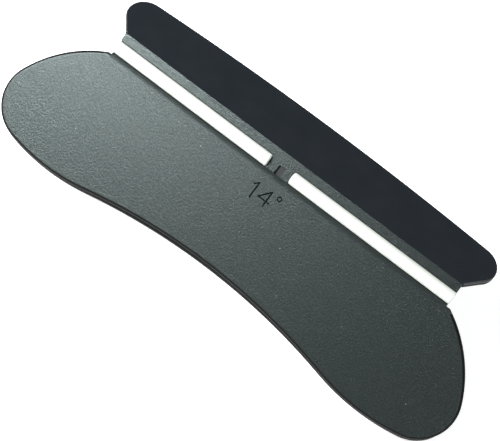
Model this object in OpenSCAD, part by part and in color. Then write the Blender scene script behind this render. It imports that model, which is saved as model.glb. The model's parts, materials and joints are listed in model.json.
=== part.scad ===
// Clip-on angle guide for sharpening a kitchen knife on a flat stone.
// Two jaws of one shape, hinged on a steel pin and closed by two torsion springs, grip the blade's spine.
// The rear jaw's finger wing is a little shorter than the front one's.
// A ceramic rod pair on each jaw slides on the stone and sets the angle.
// The guide lies on its rear jaw: +X runs along its length, +Y from the mouth to the finger wings.

/* [Plate] */
// Distance from the rod line to the middle of the mouth
mouth_reach = 26.4; // [25.5:0.1:27.5]
// Radius of the long hollow curve across the mouth
mouth_r = 145; // [120:1:180]
// Radius along the bottom of each lobe
lobe_bottom_r = 48; // [40:1:56]
// Radius of each lobe's outer corner
lobe_corner_r = 9.6; // [8:0.1:10.5]
// Centre of the corner curve, from the middle of the guide
lobe_x = 52.4; // [50:0.1:54]
// Centre of the corner curve, from the rod line
lobe_reach = 20.9; // [19.9:0.1:21.7]
// Radius of the shoulder between lobe and ridge
shoulder_r = 31; // [28:1:40]
// Wall thickness of plates and wings
wall = 1.6; // [1.2:0.1:2]

/* [Ridge] */
// Half of the ridge's length
ridge_half = 46; // [44:0.5:48]
// Height of the ridge face above the plate
ridge_rise = 0.5; // [0.3:0.1:0.8]
// Depth of the ridge below the plate's outer face
ridge_depth = 3.3; // [2.8:0.1:3.8]
// Reach of the ridge face from the rod line towards the wing
strip_w = 3.6; // [3.2:0.1:4]
// Distance from the rod line to the foot of the ridge's slope
slope_foot = 3; // [2.6:0.1:3.4]
// Width of the chamfer along the ridge's inner edge
ridge_chamfer = 1; // [0.5:0.1:1.2]

/* [Wing] */
// Height of the wing along its face, at the middle
wing_len = 13.5; // [12.8:0.1:14.2]
// Radius of the wing's rounded ends
wing_end_r = 4.7; // [4:0.1:5.4]
// Centre of the front wing's ends, from the middle of the guide
front_wing_x = 45.7; // [44.6:0.1:46.6]
// Centre of the rear wing's ends, from the middle of the guide
rear_wing_x = 41; // [39:0.1:45]
// Radius of the wing's slightly arched top edge
wing_arch_r = 700; // [600:50:1500]
// Angle at which the wing leans back from the plate
wing_lean = 40; // [36:1:42]

/* [Guide rods] */
// Diameter of a ceramic rod
rod_d = 3; // [2.8:0.1:3.1]
// Length of a ceramic rod
rod_len = 43; // [42:0.1:43]
// Half of the gap between the two rods of a jaw
rod_gap = 3.1; // [3:0.1:3.5]
// Depth of the rod's axis under the ridge face
rod_sink = 0.4; // [0.3:0.05:0.5]

/* [Hinge] */
// Angle between each plate and the blade
plate_angle = 16; // [14:0.5:17]
// Gap between the closed jaws at the lobes
jaw_gap = 0.3; // [0.2:0.1:0.6]
// Opening angle of the front jaw
open_angle = 20; // [14:1:22]
// Diameter of the hinge pin
pin_d = 2; // [1.8:0.1:2.2]
// Radial clearance between pin and knuckles
pin_clearance = 0.05; // [0.02:0.01:0.1]
// Outer radius of the knuckles
knuckle_r = 2.8; // [2.5:0.1:3]
// Width of one knuckle
knuckle_w = 7.5; // [7:0.1:7.5]

/* [Springs] */
// Diameter of the spring wire
wire_d = 1; // [0.8:0.1:1]
// Mean radius of the coil
coil_r = 1.9; // [1.8:0.1:2]
// Number of turns in each coil
turns = 6; // [4:1:6]

/* [Hidden] */
$fn = 64;

// Where two circles meet, on the left of the line from the first centre to the second
function meet(a, ra, b, rb) =
    let (d = norm(b - a), u = (b - a) / d, k = (d * d + ra * ra - rb * rb) / (2 * d), h = sqrt(ra * ra - k * k))
    a + k * u + h * [-u[1], u[0]];
// Direction from one point to another, in degrees
function bearing(a, b) = atan2(b[1] - a[1], b[0] - a[0]);
// Points along an arc, without its end
function arc(c, r, from, to, n) =
    [for (i = [0:n - 1]) let (t = from + (to - from) * i / n) c + r * [cos(t), sin(t)]];
// A half outline and its mirror image, as one loop
function mirrored(half) =
    concat(half, [for (i = [len(half) - 1:-1:0]) if (half[i][0] > 0.01) [-half[i][0], half[i][1]]]);

// Plate outline, in the plate's own plane: the rod line is y = 0 and the mouth is at negative y
shoulder_step = 1;
shoulder_top = 2.1;
waist_c = [0, -mouth_reach - mouth_r];
corner_c = [lobe_x, -lobe_reach];
bottom_c = meet(waist_c, mouth_r + lobe_bottom_r, corner_c, lobe_bottom_r - lobe_corner_r);
plate_top = [ridge_half + shoulder_step, -shoulder_top];
shoulder_c = meet(corner_c, shoulder_r - lobe_corner_r, plate_top, shoulder_r);
waist_turn = bearing(waist_c, bottom_c);
bottom_turn = bearing(bottom_c, corner_c);
shoulder_turn = bearing(shoulder_c, corner_c);
plate_half = concat(
    arc(waist_c, mouth_r, 90, waist_turn, 8),
    arc(bottom_c, lobe_bottom_r, waist_turn - 180, bottom_turn, 8),
    arc(corner_c, lobe_corner_r, bottom_turn, shoulder_turn, 14),
    arc(shoulder_c, shoulder_r, shoulder_turn, bearing(shoulder_c, plate_top), 10),
    [plate_top]
);
plate_outline = mirrored(plate_half);
plate_reach = lobe_bottom_r - bottom_c[1];

// Wing outline, in the wing's own plane: its root is y = 0, and end_x is the centre of its rounded end
wing_end_start = -45;
arch_c = [0, wing_len - wing_arch_r];
function wing_end_c(end_x) = [end_x, arch_c[1] + sqrt(pow(wing_arch_r - wing_end_r, 2) - pow(end_x, 2))];
function wing_outline(end_x) = let (c = wing_end_c(end_x), top = bearing(arch_c, c)) mirrored(concat(
    [[0, 0], [end_x, 0]], arc(c, wing_end_r, wing_end_start, top, 16), arc(arch_c, wing_arch_r, top, 90, 6),
    [[0, wing_len]]
));

// Height of the plate's outer face over the hinge, set by the closed lobes
plate_z = jaw_gap / 2 + plate_reach * sin(plate_angle) + wall * cos(plate_angle);
// A point of the front jaw's section, from its places along (s) and out of (q) the plate's plane
function section(s, q) = [
    s * cos(plate_angle) - q * sin(plate_angle), plate_z + s * sin(plate_angle) + q * cos(plate_angle)
];
wing_root = section(strip_w, ridge_rise);
wing_dir = plate_angle - wing_lean;
wing_inner = wing_root + wall * [sin(wing_dir), -cos(wing_dir)];
// Height of the wing's inner face at a distance y above the hinge
function wing_inner_z(y) = wing_inner[1] + (y - wing_inner[0]) * tan(wing_dir);
rod_c = section(0, ridge_rise - rod_sink);
lip = section(-plate_reach, 0);

// Resting place: rear rods and rear lobes on the ground, origin under the middle
rest_tilt = atan2(rod_c[1] - lip[1], rod_c[0] - lip[0]) + asin(rod_d / 2 / norm(rod_c - lip));
rest_z = rod_d / 2 + rod_c[1] * cos(rest_tilt) - rod_c[0] * sin(rest_tilt);
front_edge = lip[0] * cos(rest_tilt) - lip[1] * sin(rest_tilt);
wing_tip = wing_root + wing_len * [cos(wing_dir), sin(wing_dir)];
back_edge = wing_tip[0] * cos(rest_tilt) + wing_tip[1] * sin(rest_tilt);
rest_y = -(front_edge + back_edge) / 2;

// Inner ribs and hinge
rib_w = 1.4;
rib_x = [6, 19.6, 30, 42];
rib_start = knuckle_r + 0.8;
rib_bite = 0.5;
blade_half = 0.9;
fin_end = -23;
fin_slope = 1.3;
stop_half = open_angle / 2 + 0.5;
gusset_end = 13.4;
knuckle_gap = 0.3;
web_bite = 1;
bay = 7.8;
knuckle_end = 44;
// Left ends of the right half's knuckles, from the outside in: front, rear, then past the spring bay front, rear
outer_front = knuckle_end - knuckle_w;
outer_rear = outer_front - knuckle_w - knuckle_gap;
inner_front = outer_rear - bay - knuckle_w;
inner_rear = inner_front - knuckle_w - knuckle_gap;
knuckle_x = [outer_front, inner_front, -outer_rear - knuckle_w, -inner_rear - knuckle_w];
head_t = 0.7;
head_r = 2;
end_play = 0.2;
ring_r = 2.4;
ring_t = 0.6;
pin_stub = 0.8;
pocket = [1.9, 2.3, 0.6];
pocket_c = [0.2, -0.45];
coil_x = outer_rear - bay / 2;
coil_len = turns * wire_d;
// Height of the valleys between the coil's turns, from the wire's centre
coil_root = 0.2 * wire_d;
leg_y = 11;
leg_gap = 0.15;
leg_tip = [leg_y, wing_inner_z(leg_y) - wire_d / 2 - leg_gap];
leg_turn = atan2(leg_tip[1], leg_tip[0]) + acos(coil_r / norm(leg_tip));
leg_root = coil_r * [cos(leg_turn), sin(leg_turn)];

// Puts a shape drawn about the hinge axis into the guide's resting place
module at_rest() {
    translate([0, rest_y, rest_z]) rotate([rest_tilt, 0, 0]) children();
}

// Turns a front part into the same part on the rear side
module to_rear() {
    rotate([0, 180, 0]) children();
}

// Extrudes a section, drawn as distance above the hinge and height off the blade, along the guide
module along(x, length, points) {
    translate([x, 0, 0]) rotate([90, 0, 90]) linear_extrude(length) polygon(points);
}

// Places a shape drawn in the plate's plane on the front side
module on_plate() {
    translate([0, 0, plate_z]) rotate([plate_angle, 0, 0]) children();
}

module plate_and_ridge() {
    on_plate() {
        translate([0, 0, -wall]) linear_extrude(wall) polygon(plate_outline);
        along(-ridge_half, 2 * ridge_half, [
            [strip_w, ridge_rise], [-rod_d / 2, ridge_rise], [-slope_foot, 0], [-slope_foot, -wall],
            [-slope_foot + ridge_chamfer, -ridge_depth], [strip_w, -ridge_depth]
        ]);
    }
}

module wing(end_x) {
    translate([0, wing_root[0], wing_root[1]]) rotate([wing_dir, 0, 0])
        translate([0, 0, -wall]) linear_extrude(wall) polygon(wing_outline(end_x));
}

// Ribs that hold the blade upright and stiffen the plate
module blade_rib(x) {
    along(x - rib_w / 2, rib_w, [
        [-rib_start, blade_half], [section(fin_end, 0)[0], blade_half],
        section(fin_end - fin_slope, rib_bite - wall), [-rib_start, section(-rib_start, rib_bite - wall)[1]]
    ]);
}

// Ribs that stiffen the wing and meet the other jaw's ribs when the guide is fully open
module stop_rib(x) {
    along(x - rib_w / 2, rib_w, [
        [rib_start, rib_start * tan(stop_half)], [gusset_end, gusset_end * tan(stop_half)],
        [gusset_end, wing_inner_z(gusset_end) + rib_bite], [rib_start, wing_inner_z(rib_start) + rib_bite]
    ]);
}

module knuckle(x) {
    translate([x, 0, 0]) rotate([0, 90, 0]) cylinder(r = knuckle_r, h = knuckle_w);
    translate([x, -knuckle_r, 0]) cube([knuckle_w, 2 * knuckle_r, plate_z - ridge_depth + web_bite]);
}

module jaw(wing_end_x) {
    difference() {
        union() {
            plate_and_ridge();
            wing(wing_end_x);
            for (x = rib_x, side = [-1, 1]) {
                blade_rib(side * x);
                stop_rib(side * x);
            }
            for (x = knuckle_x) knuckle(x);
        }
        for (side = [-1, 1]) rod_at(side, 2);
        on_plate() translate([pocket_c[0] - pocket[0] / 2, pocket_c[1] - pocket[1] / 2, ridge_rise - pocket[2]])
            cube(pocket + [0, 0, 1]);
        rotate([0, 90, 0]) cylinder(d = pin_d + 2 * pin_clearance, h = 2 * knuckle_end + 2, center = true);
    }
}

// A rod in its groove on the front side, with some spare length at the open end for cutting the groove
module rod_at(side, spare = 0) {
    translate([side * (rod_gap + (rod_len + spare) / 2), rod_c[0], rod_c[1]])
        rotate([0, 90, 0]) cylinder(d = rod_d, h = rod_len + spare, center = true);
}

// A bar of spring wire in the plane across the guide at x
module leg(x, from, to) {
    translate([x, from[0], from[1]]) rotate([atan2(from[0] - to[0], to[1] - from[1]), 0, 0])
        cylinder(d = wire_d, h = norm(to - from));
}

// Closely wound coil on the hinge pin, with one leg on each wing
module spring(side) {
    low = side * coil_x - coil_len / 2;
    translate([low, 0, 0]) rotate([0, 90, 0]) rotate_extrude() polygon(concat(
        [[coil_r - wire_d / 2, coil_len], [coil_r - wire_d / 2, 0]],
        [for (i = [0:2 * turns]) [coil_r + (i % 2 == 0 ? coil_root : wire_d / 2), i * wire_d / 2]]
    ));
    leg(low + wire_d / 2, leg_root, leg_tip);
    leg(low + coil_len - wire_d / 2, [leg_root[0], -leg_root[1]], [leg_tip[0], -leg_tip[1]]);
}

module rear_jaw() {
    color([0.13, 0.14, 0.14]) at_rest() to_rear() jaw(rear_wing_x);
}

module front_jaw() {
    color([0.2, 0.22, 0.22]) at_rest() jaw(front_wing_x);
}

module hinge_pin() {
    color("silver") at_rest() translate([-knuckle_end - end_play - head_t, 0, 0]) rotate([0, 90, 0]) {
        cylinder(d = pin_d, h = 2 * (knuckle_end + end_play) + head_t + ring_t + pin_stub);
        cylinder(r = head_r, h = head_t);
    }
}

module retaining_ring() {
    color("dimgray") at_rest() translate([knuckle_end + end_play, 0, 0]) rotate([0, 90, 0]) difference() {
        cylinder(r = ring_r, h = ring_t);
        translate([0, 0, -1]) cylinder(d = pin_d, h = ring_t + 2);
    }
}

module left_spring() {
    color("gainsboro") at_rest() spring(-1);
}

module right_spring() {
    color("gainsboro") at_rest() spring(1);
}

module front_rod(side) {
    color("white") at_rest() rod_at(side);
}

module rear_rod(side) {
    color("white") at_rest() to_rear() rod_at(-side);
}

rear_jaw();
front_jaw();
hinge_pin();
retaining_ring();
left_spring();
right_spring();
rear_rod(-1);  // rear_left_rod
rear_rod(1);  // rear_right_rod
front_rod(-1);  // front_left_rod
front_rod(1);  // front_right_rod
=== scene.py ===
"""Looks for the clip-on sharpening guide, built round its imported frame.

Shapes are drawn in millimetres in the clip's own section: x along the guide, y from the hinge
towards the finger wings, z off the blade. TO_FRAME turns them into the frame, where the guide
lies on its rear jaw.
"""

import json
import math

import bmesh
import bpy
from mathutils import Matrix, Vector


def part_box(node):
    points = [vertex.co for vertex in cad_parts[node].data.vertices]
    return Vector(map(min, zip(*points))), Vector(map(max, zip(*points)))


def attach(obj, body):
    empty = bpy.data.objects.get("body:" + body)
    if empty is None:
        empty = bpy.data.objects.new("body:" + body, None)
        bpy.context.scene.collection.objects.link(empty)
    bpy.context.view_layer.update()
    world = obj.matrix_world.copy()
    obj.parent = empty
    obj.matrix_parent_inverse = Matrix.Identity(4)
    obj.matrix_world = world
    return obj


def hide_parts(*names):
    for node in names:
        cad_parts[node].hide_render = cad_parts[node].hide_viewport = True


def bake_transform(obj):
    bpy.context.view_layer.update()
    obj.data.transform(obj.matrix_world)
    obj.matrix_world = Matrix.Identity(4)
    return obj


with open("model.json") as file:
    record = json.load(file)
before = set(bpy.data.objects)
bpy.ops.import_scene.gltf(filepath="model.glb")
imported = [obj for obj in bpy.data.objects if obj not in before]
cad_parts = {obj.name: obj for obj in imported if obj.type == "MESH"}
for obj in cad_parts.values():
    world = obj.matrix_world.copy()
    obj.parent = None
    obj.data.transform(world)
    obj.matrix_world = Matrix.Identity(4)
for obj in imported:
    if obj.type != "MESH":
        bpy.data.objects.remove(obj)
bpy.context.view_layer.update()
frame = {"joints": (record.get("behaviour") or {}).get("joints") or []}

MM = 0.001
REAR, FRONT = "rear", "front"

# Plate and wing outlines, as in the CAD model
MOUTH_REACH, MOUTH_R = 26.4, 145
LOBE_BOTTOM_R, LOBE_CORNER_R = 48, 9.6
LOBE_X, LOBE_REACH = 52.4, 20.9
SHOULDER_R, SHOULDER_STEP, SHOULDER_TOP = 31, 1.0, 2.1
WALL = 1.6
WING_LEN, WING_END_R, WING_ARCH_R = 13.5, 4.7, 700
WING_END_START = math.radians(-45)
FRONT_WING_X, REAR_WING_X = 45.7, 41
PLATE_ANGLE, WING_LEAN = math.radians(16), math.radians(40)
# How far the wing's root reaches past the centres of its ends
WING_ROOT_SIDE = 0.5
# Length of the wing's root that is one with the ridge
WING_FOOT = 1.2
# Roundness of the moulding's rims, and of the plate's outer rim
RIM_R, PLATE_RIM_R = 0.35, 0.8

# Ridge, and the rods in their grooves
RIDGE_HALF, RIDGE_RISE, RIDGE_DEPTH = 46, 0.5, 3.3
STRIP_W, SLOPE_FOOT = 3.6, 3.0
ROD_R, ROD_LEN, ROD_GAP, ROD_SINK = 1.5, 43, 3.1, 0.4
# How much wider the groove is than the rod, which lies on the groove's floor
GROOVE_PLAY = 0.17

# Pocket between the rods
POCKET_HALF_X, POCKET_HALF_Y, POCKET_DEPTH = 0.95, 1.15, 0.6
POCKET_X, POCKET_Y = 0.2, -0.45

# Angle mark: where its digits start and end up the plate, its lines, and its degree ring
MARK_TOP, MARK_FOOT, MARK_W, MARK_DEPTH = -5.1, -8.9, 0.36, 0.3
DEGREE_X, DEGREE_INNER_R, DEGREE_OUTER_R = 3.7, 0.34, 0.64

# Hinge and springs
PIN_R, PIN_CLEARANCE = 1.0, 0.05
KNUCKLE_R, KNUCKLE_W, KNUCKLE_GAP, KNUCKLE_END, BAY = 2.8, 7.5, 0.3, 44, 7.8
HEAD_R, HEAD_T, END_PLAY = 2.0, 0.7, 0.2
RING_R, RING_T, PIN_STUB = 2.4, 0.6, 0.8
WIRE_D, COIL_R, COIL_LEN = 1.0, 1.9, 6.0
LEG_Y, LEG_GAP = 11, 0.15

# Ribs: fins towards the mouth, and stops towards the wings
RIB_W, RIB_X = 1.4, (6, 19.6, 30, 42)
RIB_START, RIB_BITE = KNUCKLE_R + 0.8, 0.5
BLADE_HALF, FIN_END, FIN_SLOPE = 0.9, -23, 1.3
STOP_HALF, STOP_END = math.radians(10.5), 13.4

# Small step that keeps two joined faces from lying in one plane
TOUCH = 0.013

# A jaw's finishes, in the order of its materials. The plain inside finish is also painted shade in
# the rod grooves and pocket, and the near-black edge finish is painted shade on the rims, the
# wing's sides and the sunken mark.
GRAINED, SATIN, INSIDE_AND_RECESS_SHADE, PAINTED_SHADE_EDGE = range(4)


# ---- Placing things in the frame ----

def centre(node):
    """The middle of a node's box."""
    low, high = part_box(node)
    return (low + high) / 2


rod_span = centre("front_left_rod") - centre("rear_left_rod")
REST_TILT = math.atan2(-rod_span.y, rod_span.z)
PLATE_Z = rod_span.length / MM / 2 - (RIDGE_RISE - ROD_SINK) * math.cos(PLATE_ANGLE)
hinge = Vector(frame["joints"][0]["pos_m"])
TO_FRAME = Matrix.Translation(hinge) @ Matrix.Rotation(REST_TILT, 4, "X") @ Matrix.Scale(MM, 4)
TURNED = Matrix.Rotation(math.pi, 4, "Y")
ON_PLATE = Matrix.Translation((0, 0, PLATE_Z)) @ Matrix.Rotation(PLATE_ANGLE, 4, "X")


def section(s, q):
    """A point of the front jaw's section, from its places along and out of the plate's plane."""
    c, d = math.cos(PLATE_ANGLE), math.sin(PLATE_ANGLE)
    return Vector((s * c - q * d, PLATE_Z + s * d + q * c))


WING_ROOT = section(STRIP_W, RIDGE_RISE)
WING_DIR = PLATE_ANGLE - WING_LEAN
ON_WING = Matrix.Translation((0, *WING_ROOT)) @ Matrix.Rotation(WING_DIR, 4, "X")
WING_INNER = WING_ROOT + WALL * Vector((math.sin(WING_DIR), -math.cos(WING_DIR)))
ROD_C = section(0, RIDGE_RISE - ROD_SINK)


def wing_inner_z(y):
    """Height of the wing's inner face at y."""
    return WING_INNER.y + (y - WING_INNER.x) * math.tan(WING_DIR)


# ---- Outlines ----

def meet(a, ra, b, rb):
    """Where two circles meet, on the left of the line from a to b."""
    d = (b - a).length
    u = (b - a) / d
    k = (d * d + ra * ra - rb * rb) / (2 * d)
    return a + k * u + math.sqrt(ra * ra - k * k) * Vector((-u.y, u.x))


def bearing(a, b):
    """Angle of the line from a to b."""
    return math.atan2(b.y - a.y, b.x - a.x)


def arc(c, r, start, end, n):
    """Points along an arc, without its end."""
    turns = [start + (end - start) * i / n for i in range(n)]
    return [c + r * Vector((math.cos(t), math.sin(t))) for t in turns]


def mirrored(half):
    """A whole outline from its right half, which starts and ends on the middle line."""
    return half + [Vector((-p.x, p.y)) for p in reversed(half) if p.x > 0.01]


def rounded(corners, radii, n=4):
    """A polygon with its corners rounded, each by its own radius. Nearly straight ones stay."""
    nearly_straight = math.radians(88)
    out = []
    for i, corner in enumerate(corners):
        before, after = Vector(corners[i - 1]), Vector(corners[(i + 1) % len(corners)])
        p, r = Vector(corner), radii[i % len(radii)]
        u, w = (before - p).normalized(), (after - p).normalized()
        half = math.acos(max(-1, min(1, u.dot(w)))) / 2
        if r == 0 or half > nearly_straight:
            out.append(p)
            continue
        cut = r / math.tan(half)
        c = p + (u + w).normalized() * (r / math.sin(half))
        first, last = bearing(c, p + u * cut), bearing(c, p + w * cut)
        turn = (last - first + math.pi) % (2 * math.pi) - math.pi
        turns = [first + turn * k / n for k in range(n + 1)]
        out += [c + r * Vector((math.cos(t), math.sin(t))) for t in turns]
    return out


def plate_outline():
    """The kidney shape: a waist, two lobes, two shoulders, and a straight top under the ridge."""
    waist = Vector((0, -MOUTH_REACH - MOUTH_R))
    corner = Vector((LOBE_X, -LOBE_REACH))
    bottom = meet(waist, MOUTH_R + LOBE_BOTTOM_R, corner, LOBE_BOTTOM_R - LOBE_CORNER_R)
    top = Vector((RIDGE_HALF + SHOULDER_STEP, -SHOULDER_TOP))
    shoulder = meet(corner, SHOULDER_R - LOBE_CORNER_R, top, SHOULDER_R)
    waist_turn, bottom_turn = bearing(waist, bottom), bearing(bottom, corner)
    shoulder_turn = bearing(shoulder, corner)
    return mirrored(
        arc(waist, MOUTH_R, math.pi / 2, waist_turn, 16)
        + arc(bottom, LOBE_BOTTOM_R, waist_turn - math.pi, bottom_turn, 16)
        + arc(corner, LOBE_CORNER_R, bottom_turn, shoulder_turn, 32)
        + arc(shoulder, SHOULDER_R, shoulder_turn, bearing(shoulder, top), 20)
        + [top, Vector((RIDGE_HALF - 1, top.y))]
    )


def wing_outline(end_x):
    """The wing in its own plane, with its rounded ends centred at end_x."""
    arch = Vector((0, WING_LEN - WING_ARCH_R))
    lift = math.sqrt((WING_ARCH_R - WING_END_R) ** 2 - end_x ** 2)
    end = Vector((end_x, arch.y + lift))
    root = WING_FOOT / 3
    return mirrored(
        [Vector((0, root)), Vector((end_x + WING_ROOT_SIDE, root))]
        + arc(end, WING_END_R, WING_END_START, bearing(arch, end), 40)
        + arc(arch, WING_ARCH_R, bearing(arch, end), math.pi / 2, 16)
        + [Vector((0, WING_LEN))]
    )


# ---- Mesh building ----

def slab(name, outline, low, high, r_low, r_high, matrix, steps=4):
    """An extruded outline, counter-clockwise, with its rims rounded by r_low and r_high."""
    n = len(outline)
    normals = []
    for i in range(n):
        t1 = (outline[i] - outline[i - 1]).normalized()
        t2 = (outline[(i + 1) % n] - outline[i]).normalized()
        m = Vector((t1.y + t2.y, -t1.x - t2.x)).normalized()
        stretch = 1 / max(0.5, m.dot(Vector((t1.y, -t1.x))))
        normals.append(m * stretch)
    levels = []
    for k in range(steps + 1):
        t = math.pi / 2 * k / steps
        levels.append((r_low * (1 - math.sin(t)), low + r_low * (1 - math.cos(t))))
    for k in range(steps, -1, -1):
        t = math.pi / 2 * k / steps
        levels.append((r_high * (1 - math.sin(t)), high - r_high * (1 - math.cos(t))))
    bm = bmesh.new()
    rings = []
    for inset, z in levels:
        rings.append([bm.verts.new((*(p - m * inset), z)) for p, m in zip(outline, normals)])
    for a, b in zip(rings, rings[1:]):
        for i in range(n):
            bm.faces.new((a[i], a[(i + 1) % n], b[(i + 1) % n], b[i]))
    bm.faces.new(list(reversed(rings[0])))
    bm.faces.new(rings[-1])
    bmesh.ops.remove_doubles(bm, verts=bm.verts, dist=1e-5)
    return finish_mesh(name, bm, matrix)


def finish_mesh(name, bm, matrix):
    """Makes an object of a closed mesh, placed by the matrix, with its faces turned outwards."""
    bm.transform(matrix)
    if bm.calc_volume(signed=True) < 0:
        bmesh.ops.reverse_faces(bm, faces=bm.faces)
    mesh = bpy.data.meshes.new(name)
    bm.to_mesh(mesh)
    bm.free()
    piece = bpy.data.objects.new(name, mesh)
    bpy.context.scene.collection.objects.link(piece)
    return piece


# A slab drawn in the section (y, z) and extruded along x: its own x, y, z become y, z, x
ACROSS = Matrix(((0, 0, 1, 0), (1, 0, 0, 0), (0, 1, 0, 0), (0, 0, 0, 1)))


def bar(name, outline, start, end, rim, matrix=Matrix.Identity(4)):
    """An outline drawn in the section, extruded along x from start to end."""
    points = [Vector(p) for p in outline]
    return slab(name, points, start, end, rim, rim, matrix @ ACROSS, steps=2)


def circle(r, n=48, c=(0, 0)):
    return arc(Vector(c), r, 0, 2 * math.pi, n)


def combine(base, others, operation):
    """Joins other solids to the base, or cuts them out of it, and uses them up."""
    group = bpy.data.collections.new("operands")
    for o in others:
        group.objects.link(o)
    modifier = base.modifiers.new("combine", "BOOLEAN")
    modifier.operand_type = "COLLECTION"
    modifier.collection = group
    modifier.operation = operation
    modifier.solver = "EXACT"
    modifier.use_hole_tolerant = True
    graph = bpy.context.evaluated_depsgraph_get()
    mesh = bpy.data.meshes.new_from_object(base.evaluated_get(graph))
    base.modifiers.remove(modifier)
    base.data = mesh
    for o in others:
        bpy.data.objects.remove(o)
    bpy.data.collections.remove(group)


def shade(piece, angle=32):
    """Smooth shading with sharp edges kept, and flat faces kept flat."""
    mesh = piece.data
    for polygon in mesh.polygons:
        polygon.use_smooth = True
    bm = bmesh.new()
    bm.from_mesh(mesh)
    for edge in bm.edges:
        if len(edge.link_faces) == 2:
            edge.smooth = edge.calc_face_angle(0) < math.radians(angle)
    bm.to_mesh(mesh)
    bm.free()
    modifier = piece.modifiers.new("flat_faces", "WEIGHTED_NORMAL")
    modifier.keep_sharp = True
    modifier.weight = 80


# ---- The jaw ----

def knuckle_starts():
    """Left ends of one jaw's four knuckles. The other jaw's lie beside them."""
    outer_front = KNUCKLE_END - KNUCKLE_W
    outer_rear = outer_front - KNUCKLE_W - KNUCKLE_GAP
    inner_front = outer_rear - BAY - KNUCKLE_W
    inner_rear = inner_front - KNUCKLE_W - KNUCKLE_GAP
    return (outer_front, inner_front, -outer_rear - KNUCKLE_W, -inner_rear - KNUCKLE_W)


def coil_centre():
    """Middle of the right spring's bay between two knuckles."""
    return KNUCKLE_END - 2 * KNUCKLE_W - KNUCKLE_GAP - BAY / 2


def ridge_section():
    """The ridge with the wing's foot, in the plate's own plane."""
    lean = Vector((math.cos(WING_LEAN), -math.sin(WING_LEAN)))
    face_end = Vector((STRIP_W, RIDGE_RISE))
    corners = [
        (-SLOPE_FOOT, -WALL + 0.3), (-SLOPE_FOOT + 1, -RIDGE_DEPTH), (STRIP_W, -RIDGE_DEPTH),
        (STRIP_W + 0.3, -WALL + 0.2), face_end + WING_FOOT * lean, face_end,
        (-ROD_R, RIDGE_RISE), (-SLOPE_FOOT, -TOUCH),
    ]
    return rounded(corners, [0, 0.3, 0.3, 0, 0, 0.15, 0.5, 0], n=3)


def fin_section():
    """A rib from the hinge towards the mouth, which keeps clear of the blade."""
    bite = RIB_BITE - WALL
    corners = [
        (-RIB_START, BLADE_HALF), (-RIB_START, section(-RIB_START, bite).y),
        section(FIN_END - FIN_SLOPE, bite), (section(FIN_END, 0).x, BLADE_HALF),
    ]
    return list(reversed(rounded(corners, [0.4, 0, 0, 0.4], n=3)))


def stop_section():
    """A rib from the hinge into the wing. It meets the other jaw's when the wings are squeezed."""
    slope = math.tan(STOP_HALF)
    corners = [
        (RIB_START, RIB_START * slope), (STOP_END, STOP_END * slope),
        (STOP_END, wing_inner_z(STOP_END) + RIB_BITE),
        (RIB_START, wing_inner_z(RIB_START) + RIB_BITE),
    ]
    return rounded(corners, [0.4, 0.8, 0, 0], n=4)


def jaw_solids(wing_x):
    """Every solid that the moulding is made of, after its plate."""
    solids = [
        bar("ridge", ridge_section(), -RIDGE_HALF, RIDGE_HALF, 0.1, ON_PLATE),
        slab("wing", wing_outline(wing_x), -WALL, -TOUCH / 2, RIM_R, RIM_R, ON_WING),
    ]
    top, half = PLATE_Z - RIDGE_DEPTH + 1, KNUCKLE_R - TOUCH
    web = [(-half, 0), (half, 0), (half, top), (-half, top)]
    for x in knuckle_starts():
        solids.append(bar("barrel", circle(KNUCKLE_R), x, x + KNUCKLE_W, 0.2))
        solids.append(bar("web", web, x + TOUCH, x + KNUCKLE_W - TOUCH, 0.2))
    fin, stop = fin_section(), stop_section()
    for x in RIB_X:
        for side in (-1, 1):
            low = side * x - RIB_W / 2
            solids.append(bar("fin", fin, low, low + RIB_W, 0.18))
            solids.append(bar("stop", stop, low, low + RIB_W, 0.18))
    return solids


def jaw_cutters():
    """What is cut out of the moulding: rod grooves, the pocket between them, pin bore and mark."""
    cutters = []
    groove_centre = section(0, RIDGE_RISE - ROD_SINK + GROOVE_PLAY - TOUCH)
    groove = circle(ROD_R + GROOVE_PLAY, 64, groove_centre)
    for side in (-1, 1):
        low, high = sorted((side * (ROD_GAP - 0.05), side * (RIDGE_HALF + 2)))
        cutters.append(bar("groove", groove, low, high, 0))
    w, h = POCKET_HALF_X, POCKET_HALF_Y
    pocket = rounded([(-w, -h), (w, -h), (w, h), (-w, h)], [0.2])
    low, high = RIDGE_RISE - POCKET_DEPTH, RIDGE_RISE + 1
    place = ON_PLATE @ Matrix.Translation((POCKET_X, POCKET_Y, 0))
    cutters.append(slab("pocket", pocket, low, high, 0.1, 0, place))
    bore = circle(PIN_R + PIN_CLEARANCE)
    cutters.append(bar("bore", bore, -KNUCKLE_END - 1, KNUCKLE_END + 1, 0))
    return cutters + angle_mark()


def stroke(start, end, layer):
    """A straight groove of the angle mark. Where grooves cross, each layer is a step deeper."""
    a, b = Vector(start), Vector(end)
    u = (b - a).normalized() * MARK_W / 2
    w = Vector((-u.y, u.x))
    outline = [a - u - w, b + u - w, b + u + w, a - u + w]
    return slab("stroke", outline, -MARK_DEPTH - layer * TOUCH, 1, 0, 0, ON_PLATE)


def angle_mark():
    """The sunken mark 14 and a degree ring, with the digits' tops towards the rods."""
    top, foot = MARK_TOP, MARK_FOOT
    strokes = [
        stroke((-1.95, top), (-1.95, foot), 0),
        stroke((-2.1, top - 0.1), (-2.8, top - 0.8), 1),
        stroke((1.6, top), (1.6, foot), 0),
        stroke((1.5, top - 0.05), (-0.45, foot + 1.35), 1),
        stroke((-0.5, foot + 1.3), (2.3, foot + 1.3), 2),
    ]
    low, high = -MARK_DEPTH, 1
    profile = [
        (low, DEGREE_INNER_R), (low, DEGREE_OUTER_R),
        (high, DEGREE_OUTER_R), (high, DEGREE_INNER_R),
    ]
    place = ON_PLATE @ Matrix.Translation((DEGREE_X, top - 0.3, 0))
    upright = place @ Matrix.Rotation(-math.pi / 2, 4, "Y")
    return strokes + [revolve("degree", profile, upright, n=24, closed=True)]


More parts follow.
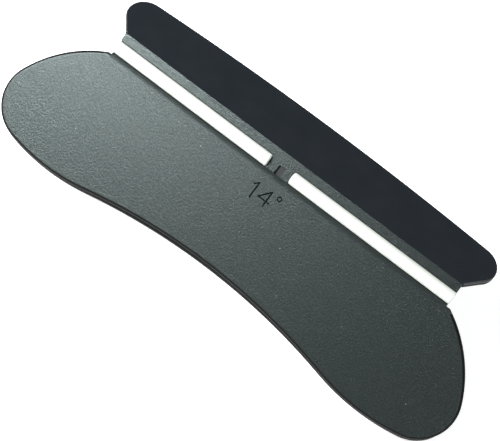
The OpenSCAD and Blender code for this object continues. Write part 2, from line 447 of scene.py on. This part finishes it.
def finish_of(on_plate, on_wing):
    """Which finish a face has, from its middle as seen in the plate's plane and in the wing's.
    Rims, wing sides and the sunken mark get near-black painted shade; the rod grooves and pocket
    get the dull inside finish as painted shade.
    """
    face, side, back = -0.06, -0.4 * WALL, -0.95 * WALL
    groove_y, groove_half, ridge_face = -0.1, 1.7, RIDGE_RISE - 0.05
    if on_plate.y > STRIP_W + TOUCH:
        if on_wing.z > side:
            return SATIN
        # The wing's sides get the near-black edge finish as painted shade
        return PAINTED_SHADE_EDGE if on_wing.z > back else INSIDE_AND_RECESS_SHADE
    if on_plate.z < back:
        return INSIDE_AND_RECESS_SHADE
    if abs(on_plate.y) < SLOPE_FOOT:
        # The rod grooves and the pocket get the dull inside finish as painted shade
        sunken = on_plate.z < ridge_face and abs(on_plate.y - groove_y) < groove_half
        return INSIDE_AND_RECESS_SHADE if sunken or on_plate.z < side else GRAINED
    # The plate's rims and the sunken mark get the near-black edge finish as painted shade
    return GRAINED if on_plate.z > face else PAINTED_SHADE_EDGE


def make_jaw(name, wing_x, materials, matrix):
    """One jaw moulding, with each face given its finish."""
    piece = slab(name, plate_outline(), -WALL, 0, RIM_R, PLATE_RIM_R, ON_PLATE, steps=6)
    combine(piece, jaw_solids(wing_x), "UNION")
    combine(piece, jaw_cutters(), "DIFFERENCE")
    shade(piece)
    piece.data.materials.clear()
    for m in materials:
        piece.data.materials.append(m)
    to_plate, to_wing = ON_PLATE.inverted(), ON_WING.inverted()
    for face in piece.data.polygons:
        face.material_index = finish_of(to_plate @ face.center, to_wing @ face.center)
    piece.data.transform(matrix)
    return piece


# ---- Turned and bent pieces ----

def revolve(name, profile, matrix, n=64, closed=False):
    """A profile of (x, radius) points turned round the x axis. A closed one makes a ring."""
    bm = bmesh.new()
    rings = []
    for x, r in profile:
        if r == 0:
            rings.append([bm.verts.new((x, 0, 0))] * n)
            continue
        turns = [2 * math.pi * i / n for i in range(n)]
        rings.append([bm.verts.new((x, r * math.cos(t), r * math.sin(t))) for t in turns])
    following = rings[1:] + rings[:1] if closed else rings[1:]
    for a, b in zip(rings, following):
        for i in range(n):
            j = (i + 1) % n
            corners = list(dict.fromkeys((a[i], a[j], b[j], b[i])))
            bm.faces.new(corners)
    return finish_mesh(name, bm, matrix)


def rod_profile(start, end, chamfer=0.18):
    """A ground ceramic rod with small rounded chamfers."""
    soft = chamfer / 3
    return [
        (start, 0), (start, ROD_R - chamfer - soft), (start + soft / 2, ROD_R - chamfer),
        (start + chamfer, ROD_R - soft / 2), (start + chamfer + soft, ROD_R),
        (end - chamfer - soft, ROD_R), (end - chamfer, ROD_R - soft / 2),
        (end - soft / 2, ROD_R - chamfer), (end, ROD_R - chamfer - soft), (end, 0),
    ]


def make_rod(name, side, matrix):
    start, end = sorted((side * ROD_GAP, side * (ROD_GAP + ROD_LEN)))
    place = matrix @ Matrix.Translation((0, *ROD_C))
    rod = revolve(name, rod_profile(start, end), place, n=96)
    shade(rod, 50)
    return rod


def make_pin():
    """The hinge pin, with a low domed head at its left end and a bevel at its right."""
    low = -KNUCKLE_END - END_PLAY - HEAD_T
    high = KNUCKLE_END + END_PLAY + RING_T + PIN_STUB
    under = low + HEAD_T
    edge, fillet, bevel = 0.08, 0.1, 0.25
    turns = [math.pi / 2 * (1 - k / 6) for k in range(7)]
    dome = [
        (low + HEAD_T * 0.75 * (1 - math.sin(t)), HEAD_R * (0.45 + 0.55 * math.cos(t)))
        for t in turns
    ]
    profile = [(low, 0)] + dome + [
        (under - edge, HEAD_R), (under, HEAD_R - edge), (under, PIN_R + fillet),
        (under + fillet, PIN_R), (high - bevel, PIN_R), (high, PIN_R - bevel), (high, 0),
    ]
    pin = revolve("pin", profile, TO_FRAME, n=64)
    shade(pin, 40)
    return pin


def make_ring():
    """A dished push-on ring, which bites on the pin."""
    low, high = KNUCKLE_END + END_PLAY, KNUCKLE_END + END_PLAY + RING_T
    bite = PIN_R + 0.005
    profile = [
        (low, RING_R - 0.12), (low + 0.1, RING_R), (low + 0.2, RING_R - 0.04),
        (high - 0.12, bite + 0.25), (high, bite + 0.05), (high, bite), (high - 0.25, bite),
        (low + 0.12, RING_R - 0.75), (low, RING_R - 0.5),
    ]
    ring = revolve("push_ring", profile, TO_FRAME, n=64, closed=True)
    shade(ring, 40)
    return ring


def spring_points(first, last):
    """The wire's route, from the front leg's tip to the rear leg's, and its coil's pitch.

    The coil goes from first to last along x.
    """
    tip = Vector((LEG_Y, wing_inner_z(LEG_Y) - WIRE_D / 2 - LEG_GAP))
    start_turn = math.atan2(tip.y, tip.x) + math.acos(COIL_R / tip.length)
    whole_turns, steps_per_turn = 5, 28
    sweep = 2 * math.pi * whole_turns + 2 * (math.pi - start_turn)
    steps = steps_per_turn * whole_turns
    coil = []
    for k in range(steps + 1):
        t = start_turn + sweep * k / steps
        x = first + (last - first) * k / steps
        coil.append(Vector((x, COIL_R * math.cos(t), COIL_R * math.sin(t))))
    pitch = (last - first) / (sweep / 2 / math.pi)
    return [Vector((first, *tip))] + coil + [Vector((last, tip.x, -tip.y))], pitch


def wire_mesh(name, points, radius):
    """A round wire along the points, as a mesh in the frame."""
    wire = bpy.data.curves.new(name, "CURVE")
    wire.dimensions = "3D"
    wire.bevel_depth = radius
    wire.bevel_resolution = 3
    wire.use_fill_caps = True
    spline = wire.splines.new("POLY")
    spline.points.add(len(points) - 1)
    for target, p in zip(spline.points, points):
        target.co = (*p, 1)
    holder = bpy.data.objects.new(name + "_wire", wire)
    bpy.context.scene.collection.objects.link(holder)
    graph = bpy.context.evaluated_depsgraph_get()
    mesh = bpy.data.meshes.new_from_object(holder.evaluated_get(graph))
    bpy.data.objects.remove(holder)
    mesh.transform(TO_FRAME)
    mesh.name = name
    # The caps have more than four corners and stay flat
    for face in mesh.polygons:
        face.use_smooth = len(face.vertices) == 4
    return mesh


def make_spring(name, side):
    """A torsion spring of one bent wire, as it lies with the jaws at rest."""
    low = side * coil_centre() - COIL_LEN / 2
    first, last = low + WIRE_D / 2, low + COIL_LEN - WIRE_D / 2
    points, pitch = spring_points(first, last)
    # The turns lie just clear of each other
    spring = bpy.data.objects.new(name, wire_mesh(name, points, pitch * 0.485))
    bpy.context.scene.collection.objects.link(spring)
    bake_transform(spring)
    return spring


# ---- Materials ----

def new_material(name, color, roughness, metallic=0.0):
    """A material, its shader, and a mapping that gives places on the piece in millimetres."""
    material = bpy.data.materials.new(name)
    material.use_nodes = True
    nodes, links = material.node_tree.nodes, material.node_tree.links
    shader = nodes["Principled BSDF"]
    shader.inputs["Base Color"].default_value = (*color, 1)
    shader.inputs["Roughness"].default_value = roughness
    shader.inputs["Metallic"].default_value = metallic
    place = nodes.new("ShaderNodeTexCoord")
    scale = nodes.new("ShaderNodeMapping")
    scale.inputs["Scale"].default_value = (1 / MM, 1 / MM, 1 / MM)
    links.new(place.outputs["Object"], scale.inputs["Vector"])
    return material, shader, scale


def noise(material, source, size, detail, rough):
    """Noise whose grains are about size millimetres across."""
    tree = material.node_tree
    node = tree.nodes.new("ShaderNodeTexNoise")
    node.inputs["Scale"].default_value = 1 / size
    node.inputs["Detail"].default_value = detail
    node.inputs["Roughness"].default_value = rough
    tree.links.new(source.outputs["Vector"], node.inputs["Vector"])
    return node.outputs["Fac"]


def spread(material, value, span, out):
    """Maps a value from its own span, a pair, to the pair out."""
    tree = material.node_tree
    node = tree.nodes.new("ShaderNodeMapRange")
    for key, number in zip(("From Min", "From Max", "To Min", "To Max"), (*span, *out)):
        node.inputs[key].default_value = number
    tree.links.new(value, node.inputs["Value"])
    return node.outputs["Result"]


def math_node(material, operation, a, b):
    """A sum or product of two values, each a number or another node's output."""
    tree = material.node_tree
    node = tree.nodes.new("ShaderNodeMath")
    node.operation = operation
    for socket, value in zip(node.inputs, (a, b)):
        if isinstance(value, (int, float)):
            socket.default_value = value
        else:
            tree.links.new(value, socket)
    return node.outputs[0]


def weighed(material, a, b, share):
    """Two values added together, with share of the first and the rest of the second."""
    first = math_node(material, "MULTIPLY", a, share)
    second = math_node(material, "MULTIPLY", b, 1 - share)
    return math_node(material, "ADD", first, second)


def blend_color(material, value, low, high):
    """From low to high as the value goes from 0 to 1. Low is a colour or a node's output."""
    tree = material.node_tree
    node = tree.nodes.new("ShaderNodeMix")
    node.data_type = "RGBA"
    if isinstance(low, tuple):
        node.inputs["A"].default_value = (*low, 1)
    else:
        tree.links.new(low, node.inputs["A"])
    node.inputs["B"].default_value = (*high, 1)
    tree.links.new(value, node.inputs["Factor"])
    return node.outputs["Result"]


def bump(material, shader, value, depth):
    """Relief that follows a value, depth millimetres deep."""
    tree = material.node_tree
    node = tree.nodes.new("ShaderNodeBump")
    node.inputs["Distance"].default_value = depth * MM
    tree.links.new(value, node.inputs["Height"])
    tree.links.new(node.outputs["Normal"], shader.inputs["Normal"])


def grained_plastic():
    """Spark-eroded black plastic: a fine uneven matte grain, with a little pale dust."""
    m, shader, scale = new_material("grained_plastic", (0.016, 0.018, 0.018), 0.45)
    link = m.node_tree.links.new
    coarse = noise(m, scale, 0.42, detail=3, rough=0.75)
    fine = noise(m, scale, 0.17, detail=2, rough=0.6)
    bump(m, shader, weighed(m, coarse, fine, 0.65), 0.11)
    cloud = noise(m, scale, 9, detail=3, rough=0.6)
    speckle = noise(m, scale, 0.37, detail=2, rough=0.7)
    grain = spread(m, speckle, (0.42, 0.58), (0, 1))
    tone = weighed(m, grain, cloud, 0.75)
    plain = blend_color(m, tone, (0.0001, 0.0001, 0.0001), (0.012, 0.0158, 0.0158))
    peaks = noise(m, scale, 0.55, detail=0, rough=0.5)
    dust = spread(m, peaks, (0.872, 0.888), (0, 0.22))
    link(blend_color(m, dust, plain, (0.5, 0.5, 0.47)), shader.inputs["Base Color"])
    link(spread(m, tone, (0.2, 0.8), (0.42, 0.3)), shader.inputs["Roughness"])
    shader.inputs["Specular IOR Level"].default_value = 0.55
    shader.inputs["Specular Tint"].default_value = (0.84, 1, 0.985, 1)
    return m


def plain_plastic(name, low, high, shine):
    """The same plastic inside the clip or on its edges: plain and dull. Near black, it is painted
    shade on the rims, the wing's sides and the sunken mark; dull, it is also painted shade in the
    rod grooves and pocket.
    """
    m, shader, scale = new_material(name, high, 0.5)
    link = m.node_tree.links.new
    cloud = noise(m, scale, 4, detail=3, rough=0.6)
    fine = noise(m, scale, 0.25, detail=2, rough=0.5)
    link(blend_color(m, cloud, low, high), shader.inputs["Base Color"])
    link(spread(m, cloud, (0.3, 0.7), (0.42, 0.52)), shader.inputs["Roughness"])
    shader.inputs["Specular IOR Level"].default_value = shine
    bump(m, shader, fine, 0.015)
    return m


def satin_plastic():
    """The same plastic from a polished part of the mould: smooth, with faint handling marks."""
    m, shader, scale = new_material("satin_plastic", (0.011, 0.013, 0.016), 0.3)
    link = m.node_tree.links.new
    cloud = noise(m, scale, 6, detail=3, rough=0.6)
    fine = noise(m, scale, 0.3, detail=2, rough=0.5)
    color = blend_color(m, cloud, (0.006, 0.0085, 0.0115), (0.0085, 0.011, 0.0145))
    link(color, shader.inputs["Base Color"])
    link(spread(m, cloud, (0.3, 0.7), (0.3, 0.35)), shader.inputs["Roughness"])
    shader.inputs["Specular IOR Level"].default_value = 0.6
    bump(m, shader, fine, 0.012)
    return m


def ceramic():
    """Ground white ceramic, faintly warm, with fine grinding texture."""
    m, shader, scale = new_material("ceramic", (0.86, 0.87, 0.83), 0.36)
    link = m.node_tree.links.new
    cloud = noise(m, scale, 2.5, detail=3, rough=0.6)
    fine = noise(m, scale, 0.09, detail=2, rough=0.6)
    color = blend_color(m, cloud, (0.54, 0.57, 0.54), (0.6, 0.63, 0.59))
    link(color, shader.inputs["Base Color"])
    link(spread(m, fine, (0.3, 0.7), (0.3, 0.45)), shader.inputs["Roughness"])
    shader.inputs["Subsurface Weight"].default_value = 0.15
    shader.inputs["Subsurface Radius"].default_value = (0.0006, 0.0006, 0.0005)
    bump(m, shader, fine, 0.006)
    return m


def metal(name, low, high, rough, stretch):
    """Drawn wire or rod: streaks along the guide, or an even oiled look where stretch is 1."""
    m, shader, scale = new_material(name, high, rough[1], 1.0)
    scale.inputs["Scale"].default_value = (1 / MM / stretch, 1 / MM, 1 / MM)
    link = m.node_tree.links.new
    streak = noise(m, scale, 0.12, detail=2, rough=0.6)
    cloud = noise(m, scale, 1.6, detail=3, rough=0.6)
    link(blend_color(m, cloud, low, high), shader.inputs["Base Color"])
    link(spread(m, streak, (0.3, 0.7), rough), shader.inputs["Roughness"])
    bump(m, shader, streak, 0.008)
    return m


def pale_floor():
    """A matte studio sheet with a trace of paper tooth, lit from within so that it is white."""
    m, shader, scale = new_material("pale_floor", (0.86, 0.86, 0.86), 0.9)
    tooth = noise(m, scale, 0.5, detail=3, rough=0.6)
    color = blend_color(m, tooth, (0.95, 0.95, 0.95), (0.97, 0.97, 0.97))
    m.node_tree.links.new(color, shader.inputs["Base Color"])
    shader.inputs["Specular IOR Level"].default_value = 0.1
    shader.inputs["Emission Color"].default_value = (1, 1, 1, 1)
    shader.inputs["Emission Strength"].default_value = 0.55
    return m


# ---- The object ----

def give(piece, body, node, material=None):
    """Lets a piece ride on its body in place of a CAD node, and dresses it.

    A piece without a body stays unattached, and a jaw already has its materials.
    """
    if material:
        piece.data.materials.clear()
        piece.data.materials.append(material)
    if body:
        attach(piece, body)
    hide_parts(node)


def build_object():
    """Every piece of the guide, in place of its CAD node, and on its body where it has one."""
    # Dull plastic for inside the clip, also painted shade in the rod grooves and pocket
    dull, dull_light = (0.009, 0.0105, 0.0105), (0.014, 0.016, 0.016)
    # Near-black painted shade for the rims, the wing's sides and the sunken mark
    painted_edge_shade, painted_edge_shade_light = (0.0015, 0.002, 0.002), (0.005, 0.0058, 0.0058)
    inside = plain_plastic("inner_plastic_and_recess_shade", dull, dull_light, 0.4)
    edge = plain_plastic("edge_plastic_painted_shade", painted_edge_shade, painted_edge_shade_light, 0.08)
    plastic = [grained_plastic(), satin_plastic(), inside, edge]
    white = ceramic()
    bright = metal("drawn_steel", (0.5, 0.5, 0.5), (0.66, 0.66, 0.65), (0.2, 0.34), 12)
    oil_dark, oil_light = (0.3, 0.3, 0.31), (0.46, 0.46, 0.46)
    oiled = metal("oiled_spring_steel", oil_dark, oil_light, (0.26, 0.42), 1)

    front = make_jaw("front_shell", FRONT_WING_X, plastic, TO_FRAME)
    give(front, FRONT, "front_jaw")
    rear = make_jaw("rear_shell", REAR_WING_X, plastic, TO_FRAME @ TURNED)
    give(rear, REAR, "rear_jaw")

    for side, where in ((-1, "left"), (1, "right")):
        rod = make_rod("front_ceramic_" + where, side, TO_FRAME)
        give(rod, FRONT, f"front_{where}_rod", white)
        rod = make_rod("rear_ceramic_" + where, -side, TO_FRAME @ TURNED)
        give(rod, REAR, f"rear_{where}_rod", white)
        spring = make_spring(where + "_torsion_spring", side)
        give(spring, None, where + "_spring", oiled)
    give(make_pin(), REAR, "hinge_pin", bright)
    give(make_ring(), REAR, "retaining_ring", oiled)


# ---- Stage, light and camera ----

# Unit vectors of the front plate: along it, up it towards the wing, and out of its face
PLATE_TURN = REST_TILT + PLATE_ANGLE
ALONG = Vector((1, 0, 0))
UP_PLATE = Vector((0, math.cos(PLATE_TURN), math.sin(PLATE_TURN)))
OUT = Vector((0, -math.sin(PLATE_TURN), math.cos(PLATE_TURN)))
ROD_LINE = TO_FRAME @ Vector((0, 0, PLATE_Z))


def from_plate(along, up, out):
    """A direction or offset given by its parts along, up and out of the front plate."""
    return along * ALONG + up * UP_PLATE + out * OUT


def make_floor():
    """The surface that the guide lies on."""
    mesh = bpy.data.meshes.new("floor")
    half = 3
    corners = [(-half, -half, 0), (half, -half, 0), (half, half, 0), (-half, half, 0)]
    mesh.from_pydata(corners, [], [(0, 1, 2, 3)])
    floor = bpy.data.objects.new("floor", mesh)
    bpy.context.scene.collection.objects.link(floor)
    mesh.materials.append(pale_floor())


def softbox(name, offset, size, power):
    """A square soft light at an offset from the middle of the rod line, facing it."""
    lamp = bpy.data.lights.new(name, "AREA")
    lamp.shape = "SQUARE"
    lamp.size = size
    lamp.energy = power
    holder = bpy.data.objects.new(name, lamp)
    bpy.context.scene.collection.objects.link(holder)
    holder.location = ROD_LINE + offset
    holder.rotation_mode = "QUATERNION"
    holder.rotation_quaternion = offset.to_track_quat("Z", "Y")


def make_lights():
    """A small key light beyond the left lobe, two broad soft lights, and a dim room."""
    softbox("key", from_plate(-0.22, 0.05, 0.29), size=0.12, power=2.9)
    softbox("high", Vector((0.55, 0.2, 0.75)), size=0.7, power=2.8)
    softbox("fill", Vector((0.7, -0.5, 0.3)), size=0.5, power=3.6)
    world = bpy.data.worlds.new("studio")
    bpy.context.scene.world = world
    world.use_nodes = True
    background = world.node_tree.nodes["Background"]
    background.inputs["Color"].default_value = (0.94, 1, 1, 1)
    background.inputs["Strength"].default_value = 0.11
    bpy.context.scene.view_settings.view_transform = "Standard"


def make_camera():
    """About 0.27 m away, a little to the right of the front plate's normal and towards the wing.

    It is rolled so that the guide runs down to the right.
    """
    distance, lens, sensor = 0.27, 89.6, 36
    right, raised, roll = math.radians(8.3), math.radians(5), math.radians(37.33)
    aim_right, aim_up = 0.00145, -0.01287
    flat = math.cos(raised)
    back = from_plate(math.sin(right) * flat, math.sin(raised), math.cos(right) * flat)
    level = (ALONG - ALONG.dot(back) * back).normalized()
    upright = back.cross(level)
    side = math.cos(roll) * level + math.sin(roll) * upright
    up = -math.sin(roll) * level + math.cos(roll) * upright
    camera = bpy.data.objects.new("camera", bpy.data.cameras.new("camera"))
    bpy.context.scene.collection.objects.link(camera)
    camera.rotation_mode = "QUATERNION"
    camera.rotation_quaternion = Matrix((side, up, back)).transposed().to_quaternion()
    camera.location = ROD_LINE + aim_right * level + aim_up * upright + distance * back
    camera.data.sensor_width = sensor
    camera.data.lens = lens
    camera.data.clip_start = 0.01
    camera.data.clip_end = 20
    bpy.context.scene.camera = camera


make_camera()
build_object()
make_floor()
make_lights()
